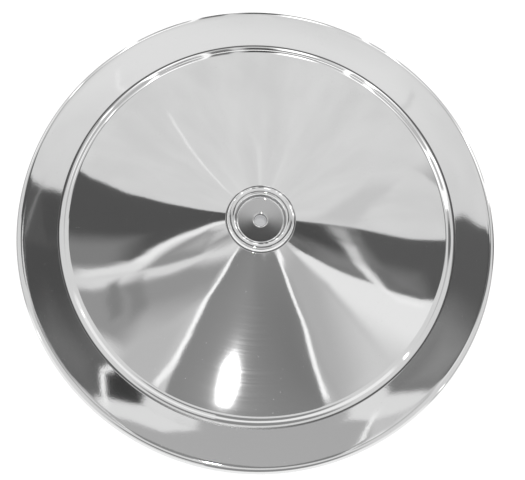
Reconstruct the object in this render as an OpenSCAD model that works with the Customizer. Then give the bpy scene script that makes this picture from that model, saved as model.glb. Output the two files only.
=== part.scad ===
// Lid of a round engine air cleaner, pressed from one steel sheet and chrome plated.
// From the rim inwards: a turned-down lip, a nearly flat seat over the filter element,
// a rounded step up to a shallow cone, and a recessed cup for the wing nut round
// the stud hole. The lid rests on its lip at Z = 0, with the stud on the Z axis.

/* [Sheet] */
// Outside diameter over the lip
lid_d = 355.6; // [340:0.1:400]
// Thickness of the steel
sheet_t = 0.9; // [0.6:0.05:1]

/* [Rim] */
// Height of the lip, from its cut edge to the line of the seat
lip_h = 9; // [7:0.5:20]
// Outside radius of the bend between seat and lip
rim_bend_r = 7; // [2:0.5:8]

/* [Filter seat] */
// Slope of the seat beside the step, in degrees
seat_slope_in = 1; // [0.5:0.5:1.5]
// Slope of the seat beside the rim, in degrees
seat_slope_out = 2; // [2:0.5:5]

/* [Step] */
// Diameter where the lines of the cone and the step's flank meet
step_d = 278; // [240:0.5:285]
// Height of the step, from the line of the seat to the line of the cone
step_h = 3; // [2:0.1:6]
// Slope of the step's flank, in degrees
step_flank = 36; // [28:1:50]
// Radius of the step's upper edge
step_crest_r = 7.9; // [2:0.1:8.5]
// Radius between the step and the seat
step_foot_r = 9.3; // [2:0.1:10]

/* [Cone] */
// Slope of the cone, in degrees
cone_slope = 9.1; // [4:0.1:14]

/* [Boss] */
// Diameter at the foot of the boss round the cup
boss_foot_d = 49.2; // [48.4:0.2:70]
// Height of the crown above the foot
boss_h = 2.7; // [2.6:0.1:3.5]
// Slope of the boss's outer flank, in degrees
boss_flank = 60; // [50:1:70]
// Radius of the crown's outer shoulder
boss_shoulder_r = 3.1; // [1:0.1:3.2]
// Radius where the boss meets the cone
boss_foot_r = 1.5; // [0.5:0.1:2.5]

/* [Wing-nut cup] */
// Inside diameter of the cup
cup_d = 34.6; // [24:0.2:34.8]
// Depth of the cup below the crown, at its wall
cup_depth = 5.4; // [5.3:0.1:12]
// Radius of the crown's inner shoulder
cup_shoulder_r = 3; // [1:0.1:3.2]
// Radius between the cup's wall and its floor
cup_corner_r = 1.3; // [1:0.1:2.1]
// Rise of the floor from the wall to the stud hole
floor_rise = 0.4; // [0.1:0.1:0.8]

/* [Stud hole] */
// Diameter of the hole
hole_d = 8.7; // [6:0.1:12]
// Radius of the edge drawn down into the hole
hole_bend_r = 1.2; // [1.1:0.1:2]
// Depth of the drawn collar below the floor
collar_h = 2.4; // [2.2:0.1:5]

/* [Hidden] */
$fn = 144;
// Largest turn between two points of a bend, in degrees
bend_step = 7.5;
// Share that the seat's slight crown takes of the room between its middle and the rim's bend
crown_share = 0.8;
// Share of a straight stretch that the bends at its two ends may take between them
bend_room = 0.98;

lid_r = lid_d / 2;
boss_r = boss_foot_d / 2;
cup_r = cup_d / 2;
hole_r = hole_d / 2;

// Radii and heights of the corners where the straight stretches of the section meet
step_r = step_d / 2;
step_foot = step_r + step_h / tan(step_flank);
seat_mid_r = (step_foot + lid_r) / 2;
seat_mid_z = lip_h + (lid_r - seat_mid_r) * tan(seat_slope_out);
step_foot_z = seat_mid_z + (seat_mid_r - step_foot) * tan(seat_slope_in);
step_z = step_foot_z + step_h;
boss_foot_z = step_z + (step_r - boss_r) * tan(cone_slope);
crown_z = boss_foot_z + boss_h;
crown_out_r = boss_r - boss_h / tan(boss_flank);
floor_z = crown_z - cup_depth;
hole_edge_z = floor_z + floor_rise;

// The seat's crown is one long arc about the middle of the seat
rim_bend_run = rim_bend_r * tan((90 - seat_slope_out) / 2);
seat_crown_run = crown_share * (lid_r - rim_bend_run - seat_mid_r);
seat_crown_r = seat_crown_run / tan((seat_slope_out - seat_slope_in) / 2);

// Corners of the sheet's upper face, from the stud hole out to the lip's cut edge:
// [radius, height, bend radius]
section = [
    [hole_r, hole_edge_z - collar_h, 0],
    [hole_r, hole_edge_z, hole_bend_r],
    [cup_r, floor_z, cup_corner_r],
    [cup_r, crown_z, cup_shoulder_r],
    [crown_out_r, crown_z, boss_shoulder_r],
    [boss_r, boss_foot_z, boss_foot_r],
    [step_r, step_z, step_crest_r],
    [step_foot, step_foot_z, step_foot_r],
    [seat_mid_r, seat_mid_z, seat_crown_r],
    [lid_r, lip_h, rim_bend_r],
    [lid_r, 0, 0]
];
last = len(section) - 1;

function corner(i) = [section[i][0], section[i][1]];

// Heading of the straight stretch that ends at a corner, in degrees
function heading(i) = atan2(corner(i)[1] - corner(i - 1)[1], corner(i)[0] - corner(i - 1)[0]);

// Unit vectors along a heading, and square to it on the side of the upper face
function along(angle) = [cos(angle), sin(angle)];
function upward(angle) = [-sin(angle), cos(angle)];

// Length that a corner's bend takes of the straight stretch on each side of it
function reach(i) = i == 0 || i == last ? 0 : section[i][2] * tan(abs(heading(i + 1) - heading(i)) / 2);

// Share of its stated radius that a bend has room for on the stretch that ends at a corner
function room(i) = bend_room * norm(corner(i) - corner(i - 1)) / (reach(i - 1) + reach(i));

// Points of one bend, on the face that lies depth below the upper one.
// The bend's centre is above the sheet where it turns up, and below where it turns down.
function bend(i, depth) =
    let (
        start = heading(i),
        turn = heading(i + 1) - start,
        side = sign(turn),
        fit = min(1, room(i), room(i + 1)),
        radius = fit * section[i][2],
        centre = corner(i) - fit * reach(i) * along(start) + side * radius * upward(start),
        steps = max(3, ceil(abs(turn) / bend_step))
    )
    [for (k = [0 : steps]) centre - (side * radius + depth) * upward(start + turn * k / steps)];

// One face of the sheet, from the stud hole to the lip's cut edge
function face(depth) = concat(
    [corner(0) - depth * upward(heading(1))],
    [for (i = [1 : last - 1]) each bend(i, depth)],
    [corner(last) - depth * upward(heading(last))]
);

function reversed(points) = [for (i = [len(points) - 1 : -1 : 0]) points[i]];

// The pressed sheet: both faces of the section, turned about the stud
module lid() {
    color("gainsboro")
        rotate_extrude()
            polygon(concat(face(0), reversed(face(sheet_t))));
}

lid();
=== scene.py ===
# Air cleaner lid: one chrome-plated steel pressing on a pale studio floor.
import math

import bmesh
import bpy
from mathutils import Matrix, Vector


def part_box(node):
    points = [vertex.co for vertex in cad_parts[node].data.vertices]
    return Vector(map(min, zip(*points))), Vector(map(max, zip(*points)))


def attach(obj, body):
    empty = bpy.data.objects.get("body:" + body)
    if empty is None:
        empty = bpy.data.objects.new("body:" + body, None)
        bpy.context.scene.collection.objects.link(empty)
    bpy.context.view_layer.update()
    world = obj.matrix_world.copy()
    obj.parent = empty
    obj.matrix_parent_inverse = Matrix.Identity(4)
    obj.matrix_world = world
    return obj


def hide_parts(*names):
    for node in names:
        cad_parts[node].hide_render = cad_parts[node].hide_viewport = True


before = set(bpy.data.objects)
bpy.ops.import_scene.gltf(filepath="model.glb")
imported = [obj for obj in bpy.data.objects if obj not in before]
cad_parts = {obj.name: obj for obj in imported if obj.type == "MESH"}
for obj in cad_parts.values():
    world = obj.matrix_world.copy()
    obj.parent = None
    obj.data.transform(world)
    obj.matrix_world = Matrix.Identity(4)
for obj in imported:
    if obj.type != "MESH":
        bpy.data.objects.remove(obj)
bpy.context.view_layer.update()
mm = 0.001


def linearColour(hexCode):
    # sRGB hex to the linear values that Blender's sockets hold
    channels = [int(hexCode[i : i + 2], 16) / 255 for i in (1, 3, 5)]
    linear = [c / 12.92 if c <= 0.04045 else ((c + 0.055) / 1.055) ** 2.4 for c in channels]
    return (*linear, 1)


def addNode(tree, kind, *values, inputs=None, **settings):
    # values feed the first inputs in their order, and inputs feeds others by name. Each is a plain
    # value or the socket it comes from. The node's outputs are returned.
    node = tree.nodes.new("ShaderNode" + kind)
    for name, value in settings.items():
        setattr(node, name, value)
    for name, value in [*enumerate(values), *(inputs or {}).items()]:
        if isinstance(value, bpy.types.NodeSocket):
            tree.links.new(value, node.inputs[name])
        else:
            node.inputs[name].default_value = value
    return node.outputs


def newObject(name, bm):
    mesh = bpy.data.meshes.new(name)
    bm.to_mesh(mesh)
    bm.free()
    made = bpy.data.objects.new(name, mesh)
    bpy.context.scene.collection.objects.link(made)
    return made


# The camera stands where the photograph's did: nearly above the lid and a little rolled
cameraSetup = {
    "elevation": 74.57,  # degrees above the horizon
    "roll": 13.17,  # degrees that the lid's axis leans to the right in the picture
    "distance": 720 * mm,
    "slideRight": 3.2 * mm,
    "slideUp": -6.8 * mm,
    "sensor": 36.0,  # mm across the picture's long side
    "lens": 66.57,  # mm
}


def placeCamera(setup):
    tilt = math.radians(setup["elevation"])
    back = Vector((0, -math.cos(tilt), math.sin(tilt)))
    right = Vector((1, 0, 0))
    up = back.cross(right)
    turn = Matrix.Rotation(math.radians(setup["roll"]), 3, back)
    right, up = turn @ right, turn @ up
    data = bpy.data.cameras.new("lidCamera")
    data.sensor_width = setup["sensor"]
    data.lens = setup["lens"]
    camera = bpy.data.objects.new("lidCamera", data)
    place = back * setup["distance"] + right * setup["slideRight"] + up * setup["slideUp"]
    camera.matrix_world = Matrix.Translation(place) @ Matrix((right, up, back)).transposed().to_4x4()
    bpy.context.scene.collection.objects.link(camera)
    bpy.context.scene.camera = camera


placeCamera(cameraSetup)
print("camera placed")


# The pressing, as the press tool makes it. Sizes are in mm and slopes in degrees.
pressing = {
    "sheet": 0.9,
    "lipHeight": 9,
    "rimBend": 7,
    "seatSlopes": (1, 2),  # beside the step, beside the rim
    "seatCrownShare": 0.8,
    "stepRadius": 139,
    "stepHeight": 3,
    "stepFlank": 36,
    "stepCrest": 7.9,
    "stepFillet": 9.3,
    "coneSlope": 9.1,
    "bossFoot": 24.6,
    "bossHeight": 2.7,
    "bossFlank": 60,
    "bossShoulder": 3.1,
    "bossFillet": 1.5,
    "cupRadius": 17.3,
    "cupDepth": 5.4,
    "cupShoulder": 3,
    "cupCorner": 1.3,
    "floorRise": 0.4,
    "holeRadius": 4.35,
    "holeBend": 1.2,
    "collarDepth": 2.4,
    "bendStep": 7,  # degrees between two edges of a bend
    "bendLeast": 4,  # steps of the smallest bend
    "straightStep": 9,  # between two edges of a straight stretch
    "turnSteps": 360,  # edges round the lid
    "merge": 0.001,  # points nearer than this are one, where the turn closes
    "shearedFrom": 80,  # degrees between two faces, from which an edge is a sheared one
    "cutEdge": 0.12,  # the sheared edges are broken by this much
    "cutSteps": 2,
}


def slopeOf(degrees):
    return math.tan(math.radians(degrees))


def sectionCorners(size, lidRadius):
    # [radius, height, bend radius] where the straight stretches would meet, from the hole outwards
    stepTop = size["stepRadius"]
    stepBase = stepTop + size["stepHeight"] / slopeOf(size["stepFlank"])
    seatMid = (stepBase + lidRadius) / 2
    slopeIn, slopeOut = size["seatSlopes"]
    seatMidZ = size["lipHeight"] + (lidRadius - seatMid) * slopeOf(slopeOut)
    stepBaseZ = seatMidZ + (seatMid - stepBase) * slopeOf(slopeIn)
    stepTopZ = stepBaseZ + size["stepHeight"]
    rimRun = size["rimBend"] * slopeOf((90 - slopeOut) / 2)
    seatCrownRun = size["seatCrownShare"] * (lidRadius - rimRun - seatMid)
    seatCrown = seatCrownRun / slopeOf((slopeOut - slopeIn) / 2)
    bossFootZ = stepTopZ + (stepTop - size["bossFoot"]) * slopeOf(size["coneSlope"])
    crownZ = bossFootZ + size["bossHeight"]
    crownOut = size["bossFoot"] - size["bossHeight"] / slopeOf(size["bossFlank"])
    floorZ = crownZ - size["cupDepth"]
    holeZ = floorZ + size["floorRise"]
    return [
        (size["holeRadius"], holeZ - size["collarDepth"], 0),
        (size["holeRadius"], holeZ, size["holeBend"]),
        (size["cupRadius"], floorZ, size["cupCorner"]),
        (size["cupRadius"], crownZ, size["cupShoulder"]),
        (crownOut, crownZ, size["bossShoulder"]),
        (size["bossFoot"], bossFootZ, size["bossFillet"]),
        (stepTop, stepTopZ, size["stepCrest"]),
        (stepBase, stepBaseZ, size["stepFillet"]),
        (seatMid, seatMidZ, seatCrown),
        (lidRadius, size["lipHeight"], size["rimBend"]),
        (lidRadius, 0, 0),
    ]


def drawStraight(bm, pen, target, step):
    # edges of about one step each, from the pen to the target
    start = pen.co.copy()
    pieces = max(1, round((target - start).length / (step * mm)))
    for piece in range(1, pieces + 1):
        pen = bmesh.ops.extrude_vert_indiv(bm, verts=[pen])["verts"][0]
        pen.co = start.lerp(target, piece / pieces)
    return pen


def drawBend(bm, pen, centre, turn, step, least):
    steps = max(least, math.ceil(abs(math.degrees(turn)) / step))
    swept = bmesh.ops.spin(bm, geom=[pen], cent=centre, axis=(0, -1, 0), angle=turn, steps=steps)
    return [v for v in swept["geom_last"] if isinstance(v, bmesh.types.BMVert)][0]


def drawSection(bm, corners, size):
    points = [Vector((radius * mm, 0, height * mm)) for radius, height, bend in corners]
    pen = bm.verts.new(points[0])
    for before, corner, after, (_, _, bend) in zip(points, points[1:], points[2:], corners[1:]):
        inward, outward = (corner - before).normalized(), (after - corner).normalized()
        turn = math.atan2(outward.z, outward.x) - math.atan2(inward.z, inward.x)
        reach = bend * mm * math.tan(abs(turn) / 2)
        square = Vector((-inward.z, 0, inward.x)) * math.copysign(bend * mm, turn)
        start = corner - inward * reach
        pen = drawStraight(bm, pen, start, size["straightStep"])
        pen = drawBend(bm, pen, start + square, turn, size["bendStep"], size["bendLeast"])
    drawStraight(bm, pen, points[-1], size["straightStep"])


def makeLid(size):
    low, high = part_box("lid")
    corners = sectionCorners(size, high.x / mm)
    bm = bmesh.new()
    drawSection(bm, corners, size)
    bmesh.ops.spin(
        bm,
        geom=bm.verts[:] + bm.edges[:],
        cent=(0, 0, 0),
        axis=(0, 0, 1),
        angle=2 * math.pi,
        steps=size["turnSteps"],
        use_merge=True,
    )
    bmesh.ops.remove_doubles(bm, verts=bm.verts[:], dist=size["merge"] * mm)
    bmesh.ops.recalc_face_normals(bm, faces=bm.faces[:])
    if max(bm.faces, key=lambda face: face.calc_center_median().z).normal.z < 0:
        bmesh.ops.reverse_faces(bm, faces=bm.faces[:])
    bm.normal_update()
    bmesh.ops.solidify(bm, geom=bm.faces[:], thickness=size["sheet"] * mm)
    bm.normal_update()
    sharp = math.radians(size["shearedFrom"])
    sheared = [edge for edge in bm.edges if edge.calc_face_angle() > sharp]
    bmesh.ops.bevel(
        bm,
        geom=sheared,
        affect="EDGES",
        offset=size["cutEdge"] * mm,
        segments=size["cutSteps"],
        profile=0.5,
        material=-1,
    )
    # the sheet's lower face is told from the upper one by the lid's middle, which it looks towards
    underside = bm.faces.layers.float.new("underside")
    middle = Vector((0, 0, low.z - high.x))
    for face in bm.faces:
        face.smooth = True
        inward = face.normal.dot(middle - face.calc_center_median())
        face[underside] = 1.0 if inward > 0 else 0.0
    lid = newObject("chromeLid", bm)
    weighted = lid.modifiers.new("evenShading", "WEIGHTED_NORMAL")
    weighted.keep_sharp = True
    print("lid pressed:", len(lid.data.polygons), "faces")
    return lid


lid = makeLid(pressing)
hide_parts("lid")
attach(lid, "root")


# What the plating shows: the press and the polishing wheel leave it a little uneven
plating = {
    "colour": "#c5c5c5",
    "bareColour": "#8d8f92",  # thin plating of the underside
    "gloss": 0.035,
    "haze": (0.022, 0.3),  # share and roughness of the finest scratches. A pit is as rough.
    "dents": (42, 0.0025, 1),  # slow waves: width in mm, height as a share of it, fine detail
    "ripple": (1.1, 0.0022, 2),  # orange peel, told in the same way
    "marks": (0.35, 0.45, 0.75),  # spacing of the wheel's marks in mm, and the noise that shows them
    "patches": (60, 0.35, 0.7),  # width in mm of the areas that have them, and their noise
    "worn": (0.015, 0.02),  # what the marks add to roughness and to haze
    "pits": (1.7, 0.11, 0.94, 0.35),  # spacing in mm, radius in cells, share of cells without, haze
    "creases": [(145.0, 0.6), (24.5, 0.4), (4.1, 0.6)],  # radius and half width in mm
    "creaseShadeAndDullness": (0.85, 0.3),  # how far painted shade darkens a crease, and its roughness
    "fade": 0.6,  # share of its half width by which a crease or a pit fades past its edge
    "cup": (5.7, 15.8, 0.13, 0.68),  # the cup's floor: its radii in mm, roughness and painted shade
    "cupFade": (0.05, 0.02),  # how far its edges fade, as a share of each radius
}


def makeChrome(look):
    # Chrome plate over pressed steel: a sharp mirror with a thin haze, uneven as a polished
    # sheet is, with pits, rougher creases and a duller cup floor, both darkened with painted shade, and a
    # thin, dull underside
    material = bpy.data.materials.new("polishedChromePlate")
    material.use_nodes = True
    tree = material.node_tree
    place = addNode(tree, "TexCoord")["Object"]
    right, away = addNode(tree, "SeparateXYZ", place)[:2]
    flat = addNode(tree, "CombineXYZ", right, away)[0]
    radius = addNode(tree, "VectorMath", flat, operation="LENGTH")["Value"]
    around = addNode(tree, "Math", away, right, operation="ARCTAN2")[0]

    # slow waves of the pressed sheet, with the fine orange peel of the plating on them
    bumps = []
    for width, share, detail in (look["dents"], look["ripple"]):
        inputs = {"Vector": place, "Scale": 1 / (width * mm), "Detail": detail}
        noise = addNode(tree, "TexNoise", inputs=inputs)[0]
        inputs = {"Height": noise, "Distance": share * width * mm}
        if bumps:
            inputs["Normal"] = bumps[-1]
        bumps.append(addNode(tree, "Bump", inputs=inputs)[0])
    uneven = bumps[-1]

    # the wheel's marks run round the lid and come and go in patches
    spacing, markLow, markHigh = look["marks"]
    rings = addNode(tree, "Math", radius, 1 / (spacing * mm), operation="MULTIPLY")[0]
    marks = addNode(tree, "CombineXYZ", rings, around)[0]
    marks = addNode(tree, "TexNoise", inputs={"Vector": marks, "Scale": 1, "Detail": 2})[0]
    marks = addNode(tree, "MapRange", marks, markLow, markHigh, interpolation_type="SMOOTHSTEP")[0]
    width, patchLow, patchHigh = look["patches"]
    inputs = {"Vector": place, "Scale": 1 / (width * mm), "Detail": 2}
    patches = addNode(tree, "TexNoise", inputs=inputs)[0]
    patches = addNode(tree, "MapRange", patches, patchLow, patchHigh, interpolation_type="SMOOTHSTEP")[0]
    worn = addNode(tree, "Math", marks, patches, operation="MULTIPLY")[0]

    # pits: a dot in the middle of a few cells
    fade = look["fade"]
    spacing, dot, bare, pitHaze = look["pits"]
    cells = addNode(tree, "TexVoronoi", inputs={"Vector": place, "Scale": 1 / (spacing * mm)})
    chosen = addNode(tree, "SeparateColor", cells["Color"])[0]
    chosen = addNode(tree, "Math", chosen, bare, operation="GREATER_THAN")[0]
    chosen = addNode(tree, "Math", chosen, pitHaze, operation="MULTIPLY")[0]
    inputs = (cells["Distance"], dot * (1 + fade), dot)
    dots = addNode(tree, "MapRange", *inputs, interpolation_type="SMOOTHSTEP")[0]
    pits = addNode(tree, "Math", chosen, dots, operation="MULTIPLY")[0]

    # creases that the wheel misses are rougher, and their colour is darkened as painted shade: the step's
    # foot, the boss's foot and the wall of the hole
    creaseShadeAndDullness = 0
    for where, half in look["creases"]:
        off = addNode(tree, "Math", radius, where * mm, operation="SUBTRACT")[0]
        off = addNode(tree, "Math", off, operation="ABSOLUTE")[0]
        inputs = (off, half * (1 + fade) * mm, half * (1 - fade) * mm)
        crease = addNode(tree, "MapRange", *inputs, interpolation_type="SMOOTHSTEP")[0]
        creaseShadeAndDullness = addNode(tree, "Math", crease, creaseShadeAndDullness, operation="MAXIMUM")[0]

    # no wheel reaches the cup's floor, which is rougher and darkened with painted shade. The underside is
    # marked on the mesh.
    cupFrom, cupTo, cupGloss, cupPaintedShade = look["cup"]
    fadeFrom, fadeTo = look["cupFade"]
    inputs = (radius, cupTo * (1 + fadeTo) * mm, cupTo * (1 - fadeTo) * mm)
    within = addNode(tree, "MapRange", *inputs, interpolation_type="SMOOTHSTEP")[0]
    inputs = (radius, cupFrom * (1 - fadeFrom) * mm, cupFrom * (1 + fadeFrom) * mm)
    beyond = addNode(tree, "MapRange", *inputs, interpolation_type="SMOOTHSTEP")[0]
    cup = addNode(tree, "Math", within, beyond, operation="MULTIPLY")[0]
    under = addNode(tree, "Attribute", attribute_name="underside")["Fac"]
    dull = addNode(tree, "Math", cup, under, operation="MAXIMUM")[0]

    creaseShadeDepth, creaseRoughness = look["creaseShadeAndDullness"]
    wornGloss, wornHaze = look["worn"]
    gloss = addNode(tree, "Math", worn, wornGloss, look["gloss"], operation="MULTIPLY_ADD")[0]
    for where, roughness in ((dull, cupGloss), (creaseShadeAndDullness, creaseRoughness)):
        rough = addNode(tree, "Math", where, roughness, operation="MULTIPLY")[0]
        gloss = addNode(tree, "Math", gloss, rough, operation="MAXIMUM")[0]
    inputs = {"Factor": under, "A": linearColour(look["colour"]), "B": linearColour(look["bareColour"])}
    tint = addNode(tree, "Mix", data_type="RGBA", inputs=inputs)["Result"]
    # painted shade: the colour is darkened in the creases
    shade = addNode(tree, "Math", creaseShadeAndDullness, -creaseShadeDepth, 1, operation="MULTIPLY_ADD")[0]
    # painted shade: the colour is darkened on the cup's floor
    cupShadeFactor = addNode(tree, "Math", cup, cupPaintedShade - 1, 1, operation="MULTIPLY_ADD")[0]
    shade = addNode(tree, "Math", shade, cupShadeFactor, operation="MULTIPLY")[0]
    tint = addNode(tree, "VectorMath", tint, operation="SCALE", inputs={"Scale": shade})[0]

    mirror = tree.nodes["Principled BSDF"]
    mirror.inputs["Metallic"].default_value = 1
    tree.links.new(tint, mirror.inputs["Base Color"])
    tree.links.new(gloss, mirror.inputs["Roughness"])
    tree.links.new(uneven, mirror.inputs["Normal"])
    hazeShare, hazeGloss = look["haze"]
    inputs = {"Metallic": 1, "Base Color": tint, "Roughness": hazeGloss, "Normal": uneven}
    haze = addNode(tree, "BsdfPrincipled", inputs=inputs)[0]
    hazy = addNode(tree, "Math", worn, wornHaze, hazeShare, operation="MULTIPLY_ADD")[0]
    hazy = addNode(tree, "Math", hazy, pits, operation="MAXIMUM")[0]
    mixed = addNode(tree, "MixShader", hazy, mirror.outputs[0], haze)[0]
    tree.links.new(mixed, tree.nodes["Material Output"].inputs["Surface"])
    return material


lid.data.materials.append(makeChrome(plating))
print("chrome plated")


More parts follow.
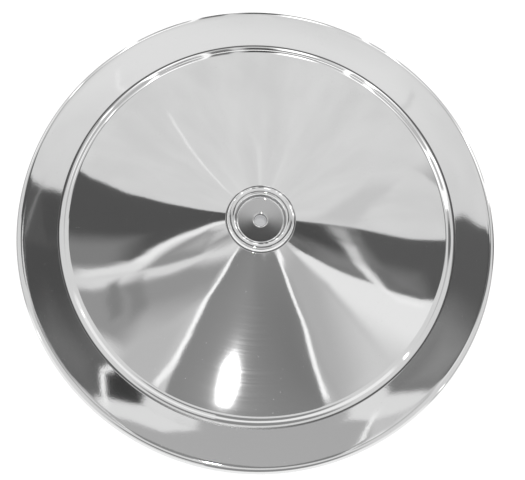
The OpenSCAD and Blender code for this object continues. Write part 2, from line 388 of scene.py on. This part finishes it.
# The studio round the lid. Where light comes from is told in two ways. Near the overhead, a
# direction is its lean from straight up: (x, y) is how far it runs to the right and away from the
# camera for each unit that it rises. Towards the horizon it is degrees of turn from the side that
# lies away from the camera, clockwise, and degrees of rise above the horizon.
studio = {
    "overhead": 1.13,  # light of the white overhead, of which the plating returns a little over half
    "cloud": (0.05, 7, 6, 0.62),  # how far its light varies, waves per unit of lean, detail, roughness
    "cloudLevels": (0.3, 0.7),  # the noise where it is dimmest and where it is brightest
    "ragged": (0.006, 45, 2),  # how far the cards' edges wander, waves per unit of lean, detail
    "edge": 0.014,  # how far a card's soft edge is followed into the next slice
    "leastRise": 0.02,  # keeps the lean finite at the horizon
    "highFrom": 51,  # degrees of rise where the cards begin
    "slices": (-0.3, -0.155, 0.19, 0.37),  # leans to the right where one slice of cards ends
    # what stands low, which only the steep bends and flanks mirror
    "low": [
        # the studio's foot all round, brighter in front
        {"at": (0, 8), "size": (360, 16), "light": 0.8, "soft": 0.3},
        {"at": (165, 9.5), "size": (110, 43), "light": 1.5, "soft": 0.05},
        {"at": (-165, 9.5), "size": (110, 43), "light": 1.5, "soft": 0.05},
        # two grey shapes over the front
        {"at": (160, 44), "size": (62, 24), "light": 0.42, "soft": 0.25, "oval": True},
        {"at": (-172, 48), "size": (50, 9), "light": 0.36, "soft": 0.3},
        # the overhead's grey border, away from the camera
        {"at": (-62, 47), "size": (16, 8), "light": 0.3, "soft": 0.5},
        {"at": (-42, 41), "size": (26, 7), "light": 0.4, "soft": 0.5},
        {"at": (52, 47), "size": (26, 8), "light": 0.3, "soft": 0.5},
        {"at": (28, 41), "size": (26, 7), "light": 0.4, "soft": 0.5},
        # lamps, narrow lights and dark flags: right of the middle, then to the left, then far right
        {"at": (18, 35), "size": (18, 8), "light": 2.5, "soft": 0.5, "oval": True},
        {"at": (11.3, 17), "size": (1.6, 34), "light": 2.2, "soft": 0.5},
        {"at": (17.3, 21), "size": (2.6, 28), "light": 4, "soft": 0.6, "oval": True},
        {"at": (-1.5, 29), "size": (9, 19), "light": 3.5, "soft": 0.5, "oval": True},
        {"at": (-1.5, 3), "size": (10, 18), "light": 0.4, "soft": 0.4},
        {"at": (-9.3, 10), "size": (7.5, 36), "light": 0.12, "soft": 0.4},
        {"at": (-18.5, 12), "size": (5, 40), "light": 0.3, "soft": 0.4},
        {"at": (-32, 35), "size": (20, 8), "light": 2.5, "soft": 0.5, "oval": True},
        {"at": (-22.3, 17), "size": (1.8, 34), "light": 1.8, "soft": 0.5},
        {"at": (-28, 14), "size": (5, 9), "light": 0.35, "soft": 0.6, "oval": True},
        {"at": (-36, 21), "size": (2.6, 28), "light": 4, "soft": 0.6, "oval": True},
        {"at": (-50, 27), "size": (4, 15), "light": 3.5, "soft": 0.5, "oval": True},
        {"at": (-63, 20), "size": (22, 7), "light": 2.0, "soft": 0.4, "oval": True},
        {"at": (53, 12), "size": (5, 16), "light": 3.5, "soft": 0.5, "oval": True},
        {"at": (43, 25), "size": (15, 24), "light": 2.2, "soft": 0.5, "oval": True},
        {"at": (40, 21), "size": (2.8, 28), "light": 4, "soft": 0.6, "oval": True},
        {"at": (65, 8), "size": (12, 24), "light": 0.25, "soft": 0.4, "oval": True},
        # two small lamps at the sides
        {"at": (104, 22), "size": (2.4, 7), "light": 5, "soft": 0.6, "oval": True},
        {"at": (-117, 20), "size": (2.4, 6), "light": 5, "soft": 0.6, "oval": True},
    ],
    "cards": [
        # dark end of the studio, which only the step's foot sees
        {
            "points": [(-0.5, -0.85), (0.7, -0.85), (0.6, -0.62), (-0.4, -0.62)],
            "light": 0.42,
            "soft": 0.05,
        },
        # the brighter part of the overhead, away from the camera
        {"points": [(-0.33, 0.4), (0.2, 0.46), (0.15, 0.6), (-0.3, 0.62)], "light": 1.3, "soft": 0.08},
        # the unlit band across the studio, whose upper edge climbs at both ends
        {
            "points": [
                (-0.62, 0.09), (-0.42, 0.065), (-0.37, 0.15), (-0.335, 0.289), (-0.43, 0.302),
                (-0.62, 0.31),
            ],
            "light": 0.13,
        },
        {"points": [(-0.62, 0.2), (-0.38, 0.2), (-0.38, 0.288), (-0.62, 0.347)], "light": 0.13},
        {"points": [(-0.8, 0.2), (-0.45, 0.2), (-0.45, 0.29), (-0.8, 0.5)], "light": 0.13},
        {
            "points": [
                (-0.22, 0.03), (-0.147, 0.01), (-0.147, 0.28), (-0.31, 0.278), (-0.345, 0.2),
                (-0.29, 0.09),
            ],
            "light": 0.11,
        },
        {"points": [(-0.345, 0.2), (-0.25, 0.2), (-0.31, 0.28), (-0.345, 0.29)], "light": 0.14},
        {
            "points": [(-0.16, 0.06), (0.2, 0.085), (0.2, 0.33), (-0.16, 0.26)],
            "light": 0.05,
            "soft": 0.05,
        },
        # a notch of light in its upper edge
        {
            "points": [(-0.038, 0.277), (0, 0.238), (0.038, 0.277), (0, 0.315)],
            "light": 1.15,
            "soft": 0.006,
        },
        # its right part
        {
            "points": [(0.15, 0.124), (0.26, 0.124), (0.4, 0.155), (0.4, 0.378), (0.2, 0.366)],
            "light": 0.155,
        },
        {"points": [(0.34, 0.137), (0.44, 0.165), (0.44, 0.402), (0.34, 0.396)], "light": 0.11},
        {
            "points": [(0.42, 0.165), (0.545, 0.215), (0.62, 0.25), (0.62, 0.406), (0.42, 0.401)],
            "light": 0.15,
        },
        {"points": [(0.5, 0.2), (0.62, 0.24), (0.8, 0.35), (0.8, 0.514), (0.5, 0.398)], "light": 0.15},
        # grey cloth at its foot
        {
            "points": [(-0.3, 0.05), (-0.15, 0.0), (-0.147, 0.1), (-0.24, 0.12)],
            "light": 0.25,
            "soft": 0.05,
        },
        {
            "points": [(-0.6, 0.05), (-0.43, 0.05), (-0.45, 0.14), (-0.6, 0.16)],
            "light": 0.36,
            "soft": 0.03,
        },
        {
            "points": [(0.35, 0.14), (0.47, 0.19), (0.44, 0.25), (0.38, 0.24)],
            "light": 0.36,
            "soft": 0.04,
        },
        {"points": [(0.48, 0.2), (0.54, 0.22), (0.52, 0.28), (0.47, 0.26)], "light": 0.3, "soft": 0.03},
        {
            "points": [(0.19, 0.12), (0.28, 0.12), (0.34, 0.2), (0.24, 0.24)],
            "light": 0.42,
            "soft": 0.05,
        },
        # the white fall below it at the right
        {
            "points": [
                (0.3, 0.1), (0.45, 0.0), (0.62, 0.12), (0.57, 0.215), (0.45, 0.186), (0.33, 0.14),
            ],
            "light": 1.4,
        },
        {
            "points": [(0.2, -0.02), (0.35, -0.2), (0.47, -0.02), (0.36, 0.09), (0.295, 0.1)],
            "light": 0.74,
            "soft": 0.02,
        },
        {"points": [(0.36, -0.1), (0.5, -0.1), (0.5, 0.05), (0.36, 0.05)], "light": 1.05, "soft": 0.06},
        {
            "points": [(0.13, 0.08), (0.2, 0.076), (0.28, 0.12), (0.13, 0.124)],
            "light": 1.25,
            "soft": 0.003,
        },
        {"points": [(0.19, 0.02), (0.25, 0.09), (0.19, 0.078)], "light": 0.95, "soft": 0.01},
        # grey cloths at the left
        {
            "points": [(-0.39, 0.028), (-0.29, 0.026), (-0.33, 0.12), (-0.355, 0.145)],
            "light": 0.48,
            "soft": 0.008,
        },
        {
            "points": [(-0.35, 0.07), (-0.31, 0.05), (-0.315, 0.09), (-0.35, 0.13)],
            "light": 0.72,
            "soft": 0.02,
        },
        {
            "points": [
                (-0.5, -0.06), (-0.3, -0.14), (-0.16, -0.1), (-0.16, -0.045), (-0.28, -0.004),
                (-0.5, 0.008),
            ],
            "light": 0.5,
            "soft": 0.015,
        },
        {
            "points": [(-0.34, -0.3), (-0.17, -0.3), (-0.16, -0.1), (-0.3, -0.09)],
            "light": 0.82,
            "soft": 0.04,
        },
        # the grey cloth in front, a black flag and a white card over it
        {
            "points": [
                (-0.155, -0.26), (0.33, -0.26), (0.26, -0.09), (0.205, 0.0), (0.1, 0.0),
                (-0.147, -0.03),
            ],
            "light": 0.37,
        },
        {
            "points": [(0.05, -0.2), (0.28, -0.16), (0.22, -0.04), (0.05, -0.08)],
            "light": 0.3,
            "soft": 0.06,
        },
        {
            "points": [
                (-0.15, -0.045), (0.1, -0.05), (0.21, 0.01), (0.19, 0.078), (0.05, 0.078),
                (-0.15, 0.0),
            ],
            "light": 0.68,
        },
        {
            "points": [(-0.143, 0.018), (-0.12, 0.024), (-0.095, 0.043), (-0.06, 0.12), (-0.143, 0.12)],
            "light": 0.05,
        },
        {
            "points": [
                (-0.16, 0.0), (-0.1, -0.001), (-0.06, 0.003), (-0.02, 0.03), (-0.09, 0.046),
                (-0.16, 0.018),
            ],
            "light": 1.25,
        },
    ],
    "lines": [
        # at the left, a white streak down to a line along the cloth, and two shades
        {
            "points": [(-0.355, 0.2), (-0.375, 0.14), (-0.395, 0.1), (-0.405, 0.045)],
            "width": 0.022,
            "light": 1.5,
        },
        {"points": [(-0.485, 0.045), (-0.4, 0.045)], "width": 0.022, "light": 1.3},
        {"points": [(-0.46, 0.02), (-0.33, 0.012), (-0.27, 0.012)], "width": 0.024, "light": 1.2},
        {"points": [(-0.27, 0.012), (-0.16, -0.03)], "width": 0.016, "light": 1.2},
        {"points": [(-0.415, 0.01), (-0.39, -0.03), (-0.36, -0.07)], "width": 0.014, "light": 0.36},
        {"points": [(-0.38, 0.0), (-0.32, -0.075)], "width": 0.022, "light": 0.4},
        # the narrow white lines beside the cloth in front
        {
            "points": [
                (-0.15, -0.04), (-0.143, -0.07), (-0.157, -0.105), (-0.153, -0.15), (-0.162, -0.18),
            ],
            "width": 0.013,
            "light": 1.8,
        },
        {"points": [(-0.162, -0.18), (-0.182, -0.21)], "width": 0.018, "light": 1.6},
        {
            "points": [
                (0.235, 0.03), (0.215, 0.0), (0.226, -0.03), (0.25, -0.07), (0.263, -0.105),
                (0.288, -0.145),
            ],
            "width": 0.014,
            "light": 1.8,
        },
        # at the right, a dark strip and a white streak down along it
        {"points": [(0.425, 0.36), (0.45, 0.26)], "width": 0.04, "light": 0.32},
        {"points": [(0.412, 0.385), (0.43, 0.3)], "width": 0.016, "light": 0.7},
        {"points": [(0.43, 0.3), (0.446, 0.23)], "width": 0.022, "light": 1.05},
        {"points": [(0.446, 0.23), (0.463, 0.188)], "width": 0.02, "light": 1.4},
        {"points": [(0.463, 0.188), (0.49, 0.174), (0.53, 0.188)], "width": 0.014, "light": 1.5},
        # thin lines in and beside the unlit band
        {"points": [(-0.305, 0.278), (-0.315, 0.2), (-0.3, 0.14)], "width": 0.005, "light": 0.4},
        {"points": [(-0.146, 0.08), (-0.148, 0.02)], "width": 0.007, "light": 1.9},
        {"points": [(0.187, 0.085), (0.187, 0.03)], "width": 0.007, "light": 1.7},
        # rays in the overhead, away from the camera
        {"points": [(0.405, 0.43), (0.42, 0.6)], "width": 0.05, "light": 0.98},
        {"points": [(-0.25, 0.47), (-0.225, 0.43)], "width": 0.004, "light": 1.5},
        {"points": [(-0.43, 0.68), (-0.356, 0.528)], "width": 0.007, "light": 1.5},
        {"points": [(0.05, 0.8), (0.03, 0.62)], "width": 0.02, "light": 1.2},
        {"points": [(-0.12, 0.8), (-0.07, 0.62)], "width": 0.03, "light": 1.22},
        {"points": [(0.15, 0.505), (0.165, 0.545)], "width": 0.008, "light": 1.05},
    ],
}


beyondAll = 9  # more than any lean of a card


def addPanel(tree, place, before, at, size, light, turn=0, soft=0.2, oval=False):
    inputs = (place, (*at, 0), (0, 0, math.radians(turn)), (size[0] / 2, size[1] / 2, 1))
    placed = addNode(tree, "Mapping", *inputs, vector_type="TEXTURE")[0]
    if oval:
        out = addNode(tree, "VectorMath", placed, operation="LENGTH")["Value"]
    else:
        square = addNode(tree, "VectorMath", placed, operation="ABSOLUTE")[0]
        sides = addNode(tree, "SeparateXYZ", square)
        out = addNode(tree, "Math", sides[0], sides[1], operation="MAXIMUM")[0]
    inside = addNode(tree, "MapRange", out, 1 + soft, 1 - soft, interpolation_type="SMOOTHSTEP")[0]
    return addNode(tree, "Mix", inputs={"Factor": inside, "A": before, "B": light})["Result"]


def addCard(tree, lean, before, points, light, soft=0.004):
    # a card of any convex outline, its corners named anticlockwise
    inside = beyondAll
    for (x0, y0), (x1, y1) in zip(points, points[1:] + points[:1]):
        long = math.hypot(x1 - x0, y1 - y0)
        across, down = (y0 - y1) / long, (x1 - x0) / long
        edge = (across, down, -across * x0 - down * y0)
        depth = addNode(tree, "VectorMath", lean, edge, operation="DOT_PRODUCT")["Value"]
        inside = addNode(tree, "Math", depth, inside, operation="MINIMUM")[0]
    inside = addNode(tree, "MapRange", inside, -soft, soft, interpolation_type="SMOOTHSTEP")[0]
    return addNode(tree, "Mix", inputs={"Factor": inside, "A": before, "B": light})["Result"]


def addLine(tree, lean, before, points, width, light, overlap=0.6, soft=0.5):
    # a narrow light or dark line is laid as soft strips, each from one point to the next and a
    # share of its width longer, so that they join
    for start, end in zip(points, points[1:]):
        run, rise = end[0] - start[0], end[1] - start[1]
        at = ((start[0] + end[0]) / 2, (start[1] + end[1]) / 2)
        size = (math.hypot(run, rise) + width * overlap, width)
        turn = math.degrees(math.atan2(rise, run))
        before = addPanel(tree, lean, before, at, size, light, turn, soft)
    return before


def addSlice(tree, lean, light, setup, left, right):
    # the cards and lines that reach into one upright slice of the studio
    margin = setup["ragged"][0] + setup["edge"]
    for kind, add in (("cards", addCard), ("lines", addLine)):
        for piece in setup[kind]:
            across = [x for x, y in piece["points"]]
            if max(across) > left - margin and min(across) < right + margin:
                light = add(tree, lean, light, **piece)
    return addNode(tree, "Background", (1, 1, 1, 1), light)[0]


def makeWorld(setup):
    world = bpy.data.worlds.new("studio")
    bpy.context.scene.world = world
    world.use_nodes = True
    tree = world.node_tree
    tree.nodes.remove(tree.nodes["Background"])
    direction = addNode(tree, "TexCoord")["Generated"]
    right, away, up = addNode(tree, "SeparateXYZ", direction)
    # the third value of a lean is 1, which lets a card's edge be told by one product
    rising = addNode(tree, "Math", up, setup["leastRise"], operation="MAXIMUM")[0]
    stretch = addNode(tree, "Math", 1, rising, operation="DIVIDE")[0]
    lean = addNode(tree, "VectorMath", direction, operation="SCALE", inputs={"Scale": stretch})[0]
    swing, waves, detail, grain = setup["cloud"]
    inputs = {"Vector": lean, "Scale": waves, "Detail": detail, "Roughness": grain}
    cloud = addNode(tree, "TexNoise", inputs=inputs)[0]
    dim, bright = setup["overhead"] * (1 - swing), setup["overhead"] * (1 + swing)
    inputs = (cloud, *setup["cloudLevels"], dim, bright)
    overhead = addNode(tree, "MapRange", *inputs, interpolation_type="SMOOTHSTEP")[0]

    # towards the horizon
    turned = addNode(tree, "Math", right, away, operation="ARCTAN2")[0]
    turned = addNode(tree, "Math", turned, operation="DEGREES")[0]
    raised = addNode(tree, "Math", up, operation="ARCSINE")[0]
    raised = addNode(tree, "Math", raised, operation="DEGREES")[0]
    sweep = addNode(tree, "CombineXYZ", turned, raised)[0]
    light = overhead
    for panel in setup["low"]:
        light = addPanel(tree, sweep, light, **panel)
    low = addNode(tree, "Background", (1, 1, 1, 1), light)[0]

    # near the overhead, in slices: a choice of 0 or 1 leaves the cards of the others unread
    wander, waves, detail = setup["ragged"]
    inputs = {"Vector": lean, "Scale": waves, "Detail": detail}
    off = addNode(tree, "TexNoise", inputs=inputs)["Color"]
    noiseMiddle = (0.5, 0.5, 0.5)
    off = addNode(tree, "VectorMath", off, noiseMiddle, operation="SUBTRACT")[0]
    lean = addNode(tree, "VectorMath", off, (wander, wander, 0), lean, operation="MULTIPLY_ADD")[0]
    slices = [-beyondAll, *setup["slices"], beyondAll]
    high = addSlice(tree, lean, overhead, setup, slices[0], slices[1])
    for left, end in zip(slices[1:], slices[2:]):
        edge = addNode(tree, "Math", up, left, operation="MULTIPLY")[0]
        beyond = addNode(tree, "Math", right, edge, operation="GREATER_THAN")[0]
        section = addSlice(tree, lean, overhead, setup, left, end)
        high = addNode(tree, "MixShader", beyond, high, section)[0]
    lowest = math.sin(math.radians(setup["highFrom"]))
    isLow = addNode(tree, "Math", up, lowest, operation="LESS_THAN")[0]
    mirrored = addNode(tree, "MixShader", isLow, high, low)[0]
    seen = addNode(tree, "LightPath")["Is Camera Ray"]
    white = addNode(tree, "Background", (1, 1, 1, 1), 1)[0]
    shown = addNode(tree, "MixShader", seen, mirrored, white)[0]
    tree.links.new(shown, tree.nodes["World Output"].inputs["Surface"])


makeWorld(studio)

# One round lamp near the camera: its mirror image is the hot spot on the cone
lampSetup = {
    "lean": (0.009, -0.2),  # told as the studio's
    "width": 1.45,  # degrees across
    "strength": 0.45,
}


def makeLamp(setup):
    data = bpy.data.lights.new("roundLamp", "SUN")
    data.energy = setup["strength"]
    data.angle = math.radians(setup["width"])
    lamp = bpy.data.objects.new("roundLamp", data)
    towards = Vector((*setup["lean"], 1))
    lamp.matrix_world = towards.to_track_quat("Z", "Y").to_matrix().to_4x4()
    bpy.context.scene.collection.objects.link(lamp)


makeLamp(lampSetup)


# White paper under the lid. A little light of its own brings it near white, while the lid's
# shadow stays.
floorSetup = {
    "halfWidth": 3.0,  # m
    "paper": "#e7e7e7",
    "glow": 0.27,  # its own light where it is seen directly
    "gleam": 0.95,  # its own light where the lid mirrors it
}


def makeFloor(setup):
    bm = bmesh.new()
    bmesh.ops.create_grid(bm, x_segments=1, y_segments=1, size=setup["halfWidth"])
    floor = newObject("paperFloor", bm)
    material = bpy.data.materials.new("mattPaper")
    material.use_nodes = True
    tree = material.node_tree
    tree.nodes.remove(tree.nodes["Principled BSDF"])
    path = addNode(tree, "LightPath")
    seen = addNode(tree, "Math", path["Is Camera Ray"], path["Is Transmission Ray"], operation="MAXIMUM")[0]
    glow = addNode(tree, "Math", seen, setup["glow"], operation="MULTIPLY")[0]
    inputs = (path["Is Glossy Ray"], setup["gleam"], glow)
    glow = addNode(tree, "Math", *inputs, operation="MULTIPLY_ADD")[0]
    paper = addNode(tree, "BsdfDiffuse", linearColour(setup["paper"]))[0]
    light = addNode(tree, "Emission", inputs={"Strength": glow})[0]
    both = addNode(tree, "AddShader", paper, light)[0]
    tree.links.new(both, tree.nodes["Material Output"].inputs["Surface"])
    floor.data.materials.append(material)


makeFloor(floorSetup)
print("studio built")

bpy.context.scene.view_settings.view_transform = "Standard"
